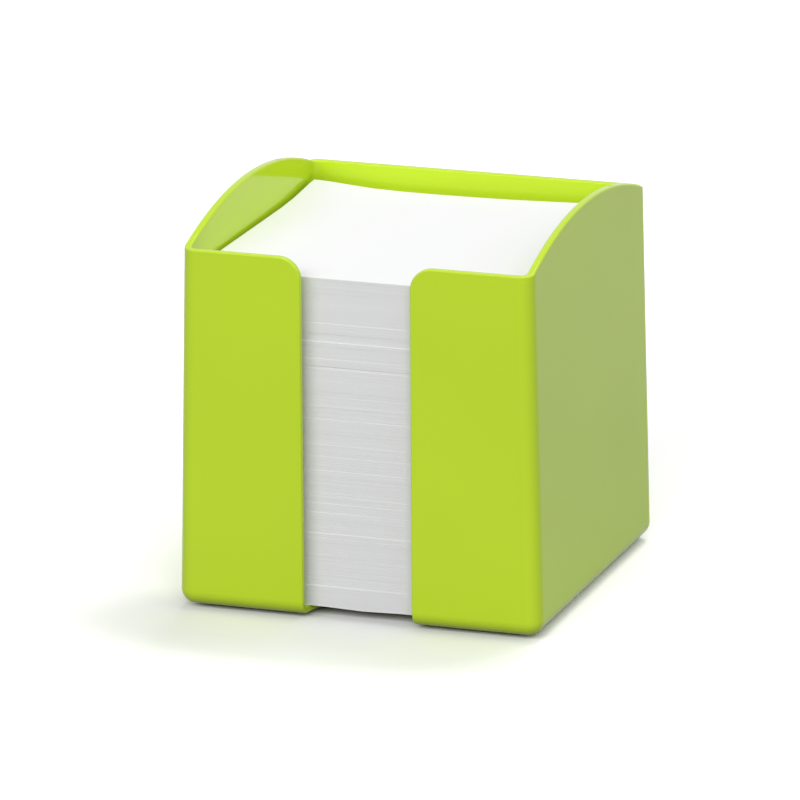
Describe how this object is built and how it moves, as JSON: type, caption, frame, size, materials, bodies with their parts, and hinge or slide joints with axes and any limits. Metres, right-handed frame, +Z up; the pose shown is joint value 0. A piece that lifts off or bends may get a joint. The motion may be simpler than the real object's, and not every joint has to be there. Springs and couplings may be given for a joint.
{
  "type": "memo holder",
  "caption": "Square moulded box with arched sides, a front slot and a thumb notch, holding a stack of loose notes that lift out upwards.",
  "frame": {"origin": "on the desk, under the middle of the box", "axes": "+Z up, -Y towards the front slot, +X to the right seen from the front"},
  "size_m": [0.0998, 0.1, 0.1064],
  "materials": {
    "green_plastic": "glossy opaque moulded polystyrene, lime green",
    "pad_rubber": "matt soft rubber",
    "white_paper": "uncoated white writing paper, guillotined edges"
  },
  "bodies": {
    "holder": {"holder_body": "green_plastic", "pad_front_left": "pad_rubber", "pad_front_right": "pad_rubber", "pad_rear_left": "pad_rubber", "pad_rear_right": "pad_rubber"},
    "note_bundle_1": {"note_bundle_1": "white_paper"},
    "note_bundle_2": {"note_bundle_2": "white_paper"},
    "note_bundle_3": {"note_bundle_3": "white_paper"},
    "note_bundle_4": {"note_bundle_4": "white_paper"},
    "note_bundle_5": {"note_bundle_5": "white_paper"},
    "note_bundle_6": {"note_bundle_6": "white_paper"},
    "note_bundle_7": {"note_bundle_7": "white_paper"},
    "top_note": {"top_note": "white_paper"}
  },
  "joints": [
    {"name": "note_bundle_1_lift", "type": "slide", "parent": "holder", "child": "note_bundle_1", "axis": [0, 0, 1], "range_m": [0, 0.1083]},
    {"name": "note_bundle_2_lift", "type": "slide", "parent": "note_bundle_1", "child": "note_bundle_2", "axis": [0, 0, 1], "range_m": [0, 0.1027]},
    {"name": "note_bundle_3_lift", "type": "slide", "parent": "note_bundle_2", "child": "note_bundle_3", "axis": [0, 0, 1], "range_m": [0, 0.091]},
    {"name": "note_bundle_4_lift", "type": "slide", "parent": "note_bundle_3", "child": "note_bundle_4", "axis": [0, 0, 1], "range_m": [0, 0.0827]},
    {"name": "note_bundle_5_lift", "type": "slide", "parent": "note_bundle_4", "child": "note_bundle_5", "axis": [0, 0, 1], "range_m": [0, 0.043]},
    {"name": "note_bundle_6_lift", "type": "slide", "parent": "note_bundle_5", "child": "note_bundle_6", "axis": [0, 0, 1], "range_m": [0, 0.0365]},
    {"name": "note_bundle_7_lift", "type": "slide", "parent": "note_bundle_6", "child": "note_bundle_7", "axis": [0, 0, 1], "range_m": [0, 0.0222]},
    {"name": "top_note_lift", "type": "slide", "parent": "note_bundle_7", "child": "top_note", "axis": [0, 0, 1], "range_m": [0, 0.0194]}
  ]
}
